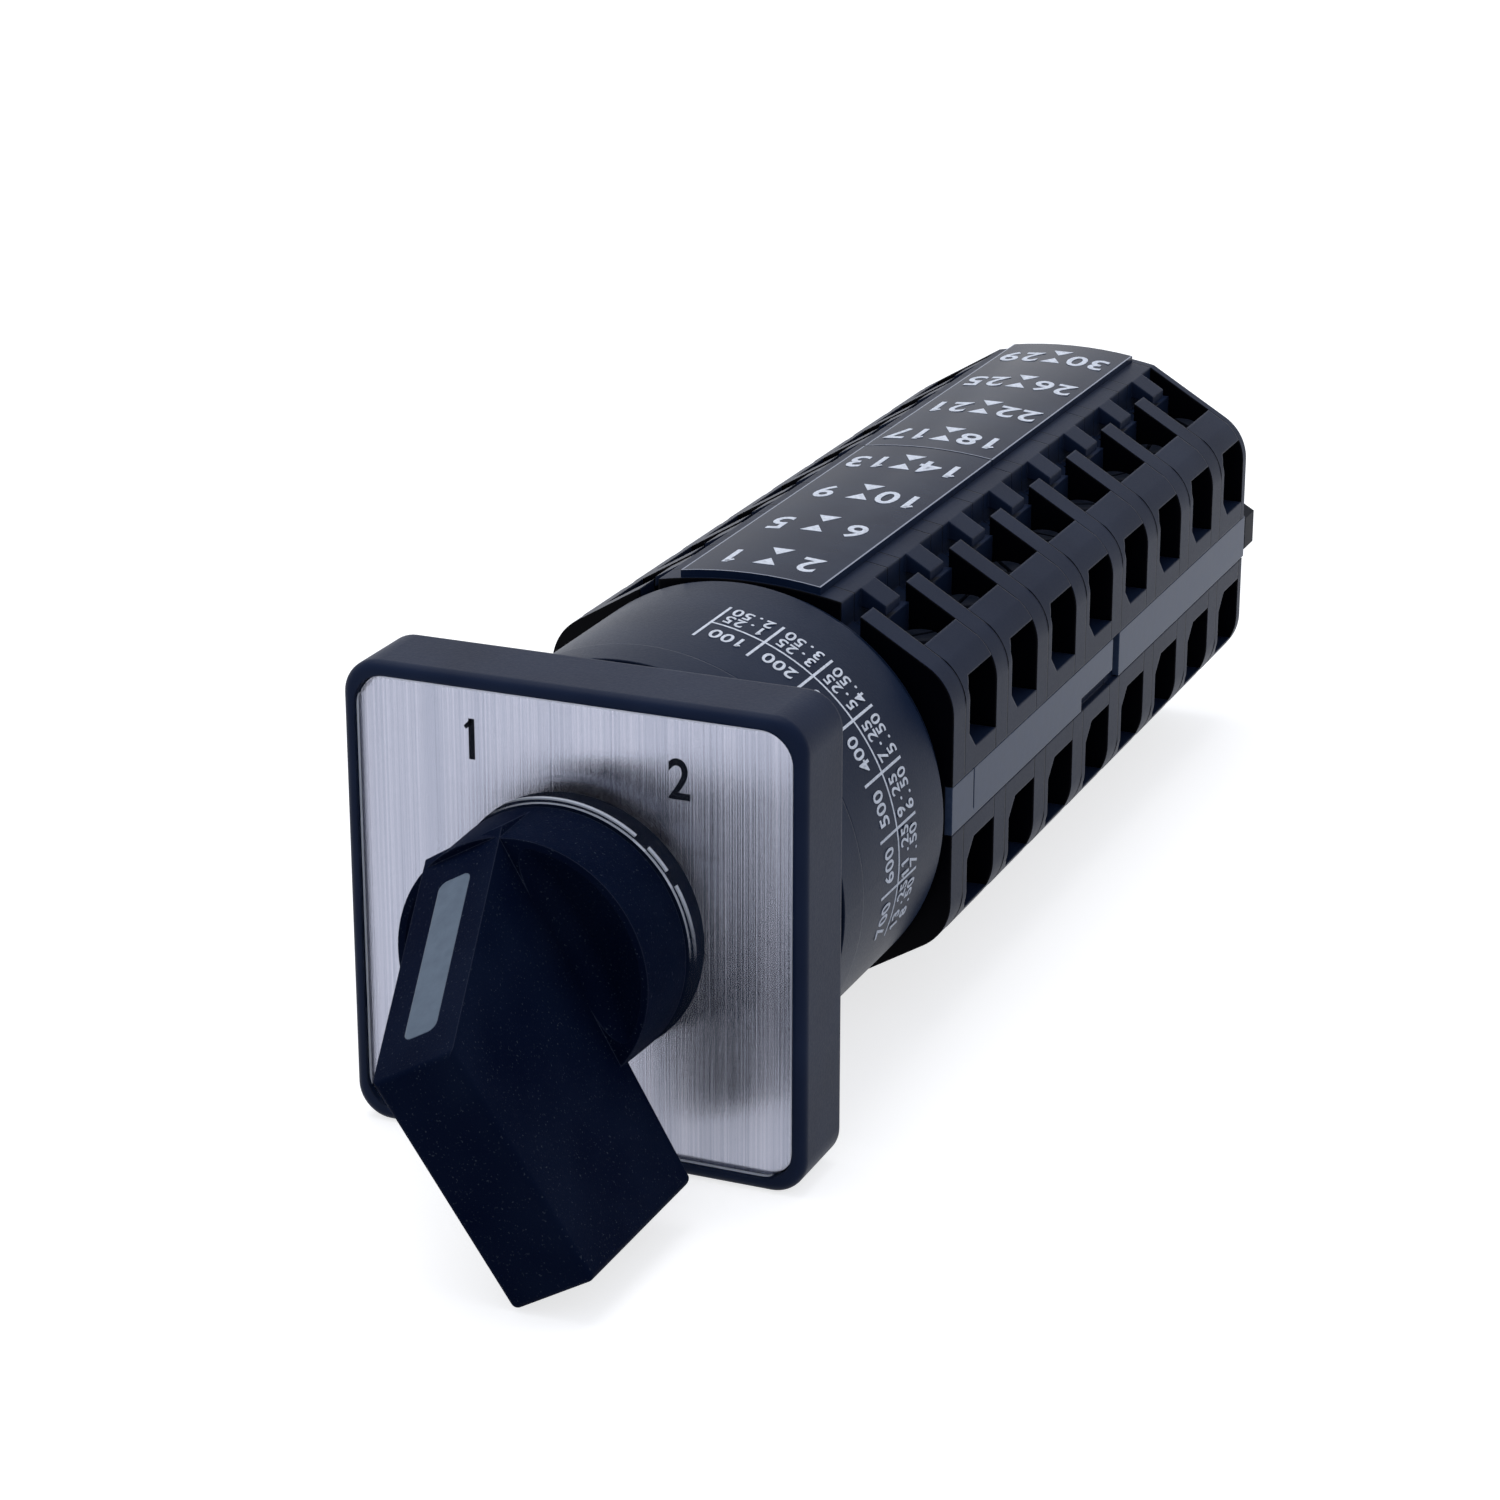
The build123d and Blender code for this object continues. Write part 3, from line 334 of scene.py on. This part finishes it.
finishes = {
    "knob": knobPlastic, "knob_indicator": indicatorFinish, "knob_clip": springFinish,
    "front_frame": framePlastic, "label_plate": plateFinish, "clear_cover": coverFinish,
    "mounting_screws": steelFinish, "detent_housing": housingPlastic, "housing_cover": housingPlastic,
    "star_wheel": camFinish, "detent_rollers": steelFinish, "detent_springs": springFinish,
    "shaft": steelFinish, "shaft_clip": springFinish, "fixed_contacts": brassFinish,
    "terminal_screws": steelPaintedShade, "terminal_clamps": steelPaintedShade, "upper_springs": springFinish,
    "lower_springs": springFinish, "rear_cover": stageFinish, "tie_bolts": steelPaintedShade,
    "top_labels": labelFinish, "bottom_labels": labelFinish, "side_strips": stripFinish,
}
for number in stageNumbers:
    finishes[f"wafer_{number}"] = stageFinish
    finishes[f"cam_{number}"] = camFinish
    finishes[f"upper_contact_{number}"] = brassFinish
    finishes[f"lower_contact_{number}"] = brassFinish
for name, material in finishes.items():
    nodes[name].data.materials.clear()
    nodes[name].data.materials.append(material)
print("frame dressed")


# new pieces

glyphs = {}


def placed(name, data):
    made = bpy.data.objects.new(name, data)
    bpy.context.scene.collection.objects.link(made)
    return made


def meshFrom(bm, name):
    mesh = bpy.data.meshes.new(name)
    bm.to_mesh(mesh)
    bm.free()
    return mesh


def finishedMesh(holder):
    # the holder's mesh with its modifiers applied, or its text as a mesh; the holder itself goes
    bpy.context.view_layer.update()
    solid = holder.evaluated_get(bpy.context.evaluated_depsgraph_get())
    mesh = bpy.data.meshes.new_from_object(solid)
    bpy.data.objects.remove(holder)
    return mesh


def mergedNode(node, name, material):
    # a CAD node's mesh with its loose triangles joined; the stored normals no longer fit it
    bm = bmesh.new()
    bm.from_mesh(nodes[node].data)
    bmesh.ops.remove_doubles(bm, verts=bm.verts, dist=0.002 * mm)
    mesh = meshFrom(bm, name)
    mesh.attributes.remove(mesh.attributes["custom_normal"])
    mesh.materials.append(material)
    return mesh


def pieceFrom(bm, name, material, body, recalculate=True):
    if recalculate:
        bmesh.ops.recalc_face_normals(bm, faces=bm.faces)
    mesh = meshFrom(bm, name)
    mesh.materials.append(material)
    piece = placed(name, mesh)
    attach(piece, body)
    return piece


def addPrint(bm, mesh, place):
    mesh.transform(place)
    bm.from_mesh(mesh)
    bpy.data.meshes.remove(mesh)


def addBar(bm, size, place):
    bar = bmesh.ops.create_cube(bm, size=1.0)["verts"]
    bmesh.ops.transform(bm, matrix=place @ Matrix.Diagonal((*size, 1)), verts=bar)


def glyphOf(character, bold=0.014):
    # one character of the built-in font as a solid of depth 1, made once and kept
    if character not in glyphs:
        curve = bpy.data.curves.new("glyph", "FONT")
        curve.body = character
        curve.extrude = 0.5
        curve.offset = bold
        curve.resolution_u = 4
        glyphs[character] = finishedMesh(placed("glyph", curve))
    return glyphs[character]


def printedText(words, height, narrow, depth):
    # words as a thin solid, centred, lying in XY and read from +Z; every digit is as wide as the next
    look = {"pitch": 0.76, "flag": (0.27, 0.11), "flagPlace": (-0.10, 0.355), "lean": 40}
    scale = Matrix.Diagonal((height * narrow, height, depth, 1))
    digitHigh = max(vertex.co.y for vertex in glyphOf(words[0]).vertices)
    bm = bmesh.new()
    for index, character in enumerate(words):
        glyph = glyphOf(character).copy()
        xs = [vertex.co.x for vertex in glyph.vertices]
        glyph.transform(Matrix.Translation((-(min(xs) + max(xs)) / 2, -digitHigh / 2, 0)))
        shift = Matrix.Translation(((index - (len(words) - 1) / 2) * look["pitch"], 0, 0))
        place = scale @ shift @ Matrix.Diagonal((1 / digitHigh, 1 / digitHigh, 1, 1))
        addPrint(bm, glyph, place)
        if character == "1":    # its flag, as a bar
            lean = Matrix.Rotation(math.radians(look["lean"]), 4, "Z")
            flag = Matrix.Translation((*look["flagPlace"], 0)) @ lean
            addBar(bm, (*look["flag"], 1), scale @ shift @ flag)
    return meshFrom(bm, "words")


def stageMould():
    # a six-sided bar round all the stages; its four side corners are round, its peaks stay sharp
    look = {"corner": (22.6 * mm, 13.52 * mm), "slope": 31, "tangent": 3.1 * mm, "clear": 0.02 * mm,
            "segments": 8, "ends": 1.0 * mm}
    x = look["corner"][0] + look["clear"]
    z = look["corner"][1] + look["clear"]
    peak = z + x * math.tan(math.radians(look["slope"]))
    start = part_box("wafer_1")[0].y - look["ends"]
    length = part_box("wafer_8")[1].y + look["ends"] - start
    bm = bmesh.new()
    outline = bmesh.ops.create_circle(bm, cap_ends=True, segments=6, radius=1.0)["verts"]
    outline.sort(key=lambda corner: math.atan2(corner.co.y, corner.co.x))
    corners = sorted([(x, z), (0, peak), (-x, z), (-x, -z), (0, -peak), (x, -z)],
                     key=lambda corner: math.atan2(corner[1], corner[0]))
    for vertex, corner in zip(outline, corners):
        vertex.co = (corner[0], start, corner[1])
    raised = bmesh.ops.extrude_face_region(bm, geom=bm.faces[:])["geom"]
    far = [part for part in raised if isinstance(part, bmesh.types.BMVert)]
    bmesh.ops.translate(bm, vec=(0, length, 0), verts=far)
    sides = []
    for edge in bm.edges:
        near, end = [vertex.co for vertex in edge.verts]
        if abs(near.y - end.y) > length / 2 and abs(near.x) > x / 2:
            sides.append(edge)
    bmesh.ops.bevel(bm, geom=sides, offset=look["tangent"], segments=look["segments"], profile=0.5,
                    affect="EDGES", material=-1)
    bmesh.ops.recalc_face_normals(bm, faces=bm.faces)
    return placed("stageMould", meshFrom(bm, "stageMould"))


def roundedStages():
    # the stages trimmed by the mould, so that their blocks' side corners are as round as the front walls
    sharpFrom = math.radians(25)
    mould = stageMould()
    for number in stageNumbers:
        holder = placed("stage", mergedNode(f"wafer_{number}", "stage", stageFinish))
        trim = holder.modifiers.new("trim", "BOOLEAN")
        trim.operation = "INTERSECT"
        trim.solver = "EXACT"
        trim.object = mould
        shaped = finishedMesh(holder)
        shaped.shade_smooth()
        shaped.set_sharp_from_angle(angle=sharpFrom)
        piece = placed(f"stageBody{number}", shaped)
        even = piece.modifiers.new("even", "WEIGHTED_NORMAL")
        even.keep_sharp = True
        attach(piece, "housing")
        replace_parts(piece, f"wafer_{number}")
    bpy.data.objects.remove(mould)


def contactSprings(row):
    # the springs of one row as one piece, on no body: in the switch one end of each spring stays in its
    # stage and the other goes with the contacts, which all slide alike
    name = f"{row}ContactSprings"
    piece = placed(name, mergedNode(f"{row}_springs", name, springFinish))
    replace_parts(piece, f"{row}_springs")
    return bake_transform(piece)


def plateNumbers():
    # position numbers, printed on the plate under the clear cover
    look = {"height": 4.0 * mm, "narrow": 0.86, "depth": 0.04 * mm,
            "places": {"1": (-10.6 * mm, 17.35 * mm), "2": (10.9 * mm, 16.4 * mm)}}
    bm = bmesh.new()
    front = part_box("label_plate")[0].y
    upright = Matrix.Rotation(math.radians(90), 4, "X")
    for words, (x, z) in look["places"].items():
        mesh = printedText(words, look["height"], look["narrow"], look["depth"])
        addPrint(bm, mesh, Matrix.Translation((x, front, z)) @ upright)
    return pieceFrom(bm, "plateNumbers", blackInk, "housing", recalculate=False)


def terminalNumbers(name, high, oddNumber, under):
    # numbers and arrowheads on the label strips, read from the rear
    look = {"height": 4.4 * mm, "narrow": 0.80, "depth": 0.04 * mm, "side": 4.3 * mm,
            "row": 5.7 * mm, "nearArrow": 4.5 * mm, "farArrow": 8.8 * mm,
            "arrow": 1.45 * mm, "arch": 51.8 * mm}
    bm = bmesh.new()
    flip = Matrix.Rotation(math.pi, 4, "Y") if under else Matrix.Identity(4)
    fromRear = Matrix.Rotation(math.pi, 4, "Z")

    def onLabel(x, y):
        drop = x * x / (2 * look["arch"])
        lean = Matrix.Rotation(x / look["arch"], 4, "Y")
        return flip @ Matrix.Translation((x, y, high - drop)) @ lean

    for number in stageNumbers:
        front = firstStage + (number - 1) * stagePitch
        odd = oddNumber + 4 * (number - 1)
        for words, x in ((str(odd + 1), look["side"]), (str(odd), -look["side"])):
            mesh = printedText(words, look["height"], look["narrow"], look["depth"])
            addPrint(bm, mesh, onLabel(x, front + look["row"]) @ fromRear)
        for y, turn in ((look["nearArrow"], 0.0), (look["farArrow"], math.pi)):
            arrow = bmesh.ops.create_cone(bm, cap_ends=True, segments=3, radius1=look["arrow"],
                                          radius2=look["arrow"], depth=look["depth"])["verts"]
            place = onLabel(0, front + y) @ Matrix.Rotation(turn, 4, "Z")
            bmesh.ops.transform(bm, matrix=place, verts=arrow)
    return pieceFrom(bm, name, whiteInk, "housing")


def drumScale():
    # a plain scale on the drum: one line round it, cross lines, and small plain numbers
    look = {"radius": 22.6 * mm, "line": 19.0 * mm, "width": 0.28 * mm, "depth": 0.05 * mm,
            "first": 6, "step": 15, "facet": 3, "cells": 7, "cross": 9.6 * mm, "crossShift": 0.3 * mm,
            "digits": 1.9 * mm, "narrow": 0.78, "large": 1.15, "largeRow": -2.7 * mm,
            "smallRows": (1.6 * mm, 3.9 * mm)}
    bm = bmesh.new()
    fromRear = Matrix.Rotation(math.pi, 4, "Z")

    def onDrum(angle, y):
        around = Matrix.Rotation(math.radians(angle), 4, "Y")
        return around @ Matrix.Translation((0, y, look["radius"]))

    sweep = look["cells"] * look["step"]
    half = look["width"] / 2
    thin = look["depth"] / 2
    start = onDrum(look["first"], look["line"])
    corners = [(0, -half, -thin), (0, half, -thin), (0, half, thin), (0, -half, thin)]
    section = [bm.verts.new(start @ Vector(corner)) for corner in corners]
    face = bm.faces.new(section)
    bmesh.ops.spin(bm, geom=[face, *face.edges, *section], cent=(0, 0, 0), axis=(0, 1, 0),
                   angle=math.radians(sweep), steps=sweep // look["facet"])
    for cell in range(look["cells"]):
        angle = look["first"] + cell * look["step"]
        cross = (look["width"], look["cross"], look["depth"])
        addBar(bm, cross, onDrum(angle, look["line"] + look["crossShift"]))
        rows = ((look["largeRow"], f"{100 * (cell + 1)}", look["large"]),
                (look["smallRows"][0], f"{2 * cell + 1}.25", 1.0),
                (look["smallRows"][1], f"{cell + 2}.50", 1.0))
        for y, words, grow in rows:
            mesh = printedText(words, look["digits"] * grow, look["narrow"], look["depth"])
            place = onDrum(angle + look["step"] / 2, look["line"] + y)
            addPrint(bm, mesh, place @ fromRear)
    return pieceFrom(bm, "drumScale", whiteInk, "housing")


def screwHead(look):
    # one slotted pan head, standing on z = 0
    bm = bmesh.new()
    bmesh.ops.create_circle(bm, cap_ends=True, segments=20, radius=look["head"])
    raised = bmesh.ops.extrude_face_region(bm, geom=bm.faces[:])["geom"]
    top = [part for part in raised if isinstance(part, bmesh.types.BMVert)]
    bmesh.ops.translate(bm, vec=(0, 0, look["height"]), verts=top)
    rim = [edge for edge in bm.edges if all(vertex in top for vertex in edge.verts)]
    bmesh.ops.bevel(bm, geom=rim, offset=look["round"], segments=2, profile=0.5,
                    affect="EDGES", material=-1)
    for side in (-1, 1):
        cut = bm.verts[:] + bm.edges[:] + bm.faces[:]
        bmesh.ops.bisect_plane(bm, geom=cut, plane_co=(0, side * look["slot"] / 2, 0), plane_no=(0, 1, 0))
    crown = [face for face in bm.faces
             if face.normal.z > 0.9 and abs(face.calc_center_median().y) < look["slot"] / 2]
    sunk = bmesh.ops.extrude_face_region(bm, geom=crown)["geom"]
    slotFloor = [part for part in sunk if isinstance(part, bmesh.types.BMVert)]
    bmesh.ops.translate(bm, vec=(0, 0, -look["slotDepth"]), verts=slotFloor)
    bmesh.ops.delete(bm, geom=crown, context="FACES_ONLY")
    return meshFrom(bm, "screw")


def terminalScrewHeads():
    # slotted heads on the forked contacts, with their shanks down to the clamps; each slot is turned
    # by its stage and side, so that no two beside each other are alike
    look = {"head": 2.1 * mm, "height": 1.8 * mm, "shank": 1.2 * mm, "foot": 7.6 * mm, "slot": 0.5 * mm,
            "slotDepth": 0.6 * mm, "round": 0.35 * mm, "middle": 9.4 * mm, "turns": (37, 60)}
    low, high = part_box("terminal_screws")
    across = [low.x + look["head"], high.x - look["head"]]
    base = high.z - look["height"]
    single = screwHead(look)
    bm = bmesh.new()
    for number in stageNumbers:
        middle = firstStage + (number - 1) * stagePitch + look["middle"]
        for x in across:
            for up in (1, -1):
                angle = look["turns"][0] * number + look["turns"][1] * x / mm
                turn = Matrix.Rotation(0 if up == 1 else math.pi, 4, "X")
                spin = Matrix.Rotation(math.radians(angle), 4, "Z")
                place = Matrix.Translation((x, middle, up * base)) @ turn @ spin
                addPrint(bm, single.copy(), place)
                shank = bmesh.ops.create_cone(bm, cap_ends=True, segments=12, radius1=look["shank"],
                                              radius2=look["shank"], depth=base - look["foot"])["verts"]
                bmesh.ops.translate(bm, vec=(x, middle, up * (base + look["foot"]) / 2), verts=shank)
    bpy.data.meshes.remove(single)
    # the heads' near black finish is painted shade for the wells they sit in
    piece = pieceFrom(bm, "terminalScrewHeads", steelPaintedShade, "housing")
    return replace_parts(piece, "terminal_screws")


roundedStages()
print("stages rounded")
contactSprings("upper")
contactSprings("lower")
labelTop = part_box("top_labels")[1].z
plateNumbers()
terminalNumbers("topNumbers", labelTop, 1, False)
terminalNumbers("bottomNumbers", labelTop, 3, True)
drumScale()
terminalScrewHeads()
print("numbers and screws made")


# stage, light and camera

def shownRays(wire):
    # 1 for camera, glossy and transmission rays
    seen = [wire.node("ShaderNodeLightPath", output=kind)
            for kind in ("Is Camera Ray", "Is Glossy Ray", "Is Transmission Ray")]
    return wire.math("MAXIMUM", wire.math("MAXIMUM", seen[0], seen[1]), seen[2])


def studio():
    # a pale floor and sky, which are white only where the camera sees them, straight or mirrored
    look = {"paper": (0.55, 0.55, 0.56), "paler": (0.58, 0.58, 0.58), "floorSize": 3.0, "gap": 0.02 * mm,
            "glow": 0.72, "sky": (0.50, 0.53, 0.60)}
    bm = bmesh.new()
    bmesh.ops.create_grid(bm, x_segments=1, y_segments=1, size=look["floorSize"] / 2)
    bmesh.ops.translate(bm, vec=(0, 0, cadBox[0][2] - look["gap"]), verts=bm.verts)
    floor = placed("floor", meshFrom(bm, "floor"))
    material, wire = finishOf("floorPaper", Roughness=0.9, Specular_IOR_Level=0.0, Emission_Strength=1.0)
    paper = wire.blend(wire.noise(40.0, 3.0), (*look["paper"], 1), (*look["paler"], 1))
    glow = wire.blend(shownRays(wire), (0, 0, 0, 1), (look["glow"], look["glow"], look["glow"], 1))
    floor.data.materials.append(connect(material, Base_Color=paper, Emission_Color=glow))

    world = bpy.data.worlds.new("studio")
    bpy.context.scene.world = world
    world.use_nodes = True
    tree = world.node_tree
    wire = Wire(tree)
    tone = wire.blend(shownRays(wire), (*look["sky"], 1), (1, 1, 1, 1))
    background = tree.nodes["Background"]
    tree.links.new(tone.socket, background.inputs["Color"])
    background.inputs["Strength"].default_value = 1.0


def lamp(name, place, aim, size, power):
    data = bpy.data.lights.new(name, "AREA")
    data.shape = "SQUARE"
    data.size = size
    data.energy = power
    holder = placed(name, data)
    holder.location = place
    holder.rotation_euler = (Vector(aim) - Vector(place)).to_track_quat("-Z", "Y").to_euler()
    holder.visible_camera = False


def photoCamera():
    # the camera fitted to the photograph; the place is in millimetres
    look = {"place": (151.16, -322.0, 143.99), "turn": (1.8895, 0.3841, -0.2692), "lens": 94.77}
    turn = Vector(look["turn"])
    toCamera = Matrix.Rotation(turn.length, 3, turn.normalized())
    flip = Matrix.Diagonal((1, -1, -1))
    data = bpy.data.cameras.new("photoCamera")
    data.lens = look["lens"]
    data.sensor_width = 36.0
    data.clip_start = 0.01
    data.clip_end = 50.0
    camera = placed("photoCamera", data)
    place = Matrix.Translation(Vector(look["place"]) * mm)
    camera.matrix_world = place @ (toCamera.transposed() @ flip).to_4x4()
    bpy.context.scene.camera = camera


studio()
lamp("topLight", place=(-0.15, 0.1, 0.75), aim=(0, 0.05, 0), size=0.6, power=3.0)
lamp("rearLight", place=(-0.19, 1.0, 0.16), aim=(0, 0.12, 0.02), size=0.30, power=0.15)
photoCamera()
bpy.context.scene.view_settings.view_transform = "Standard"
print("studio ready")
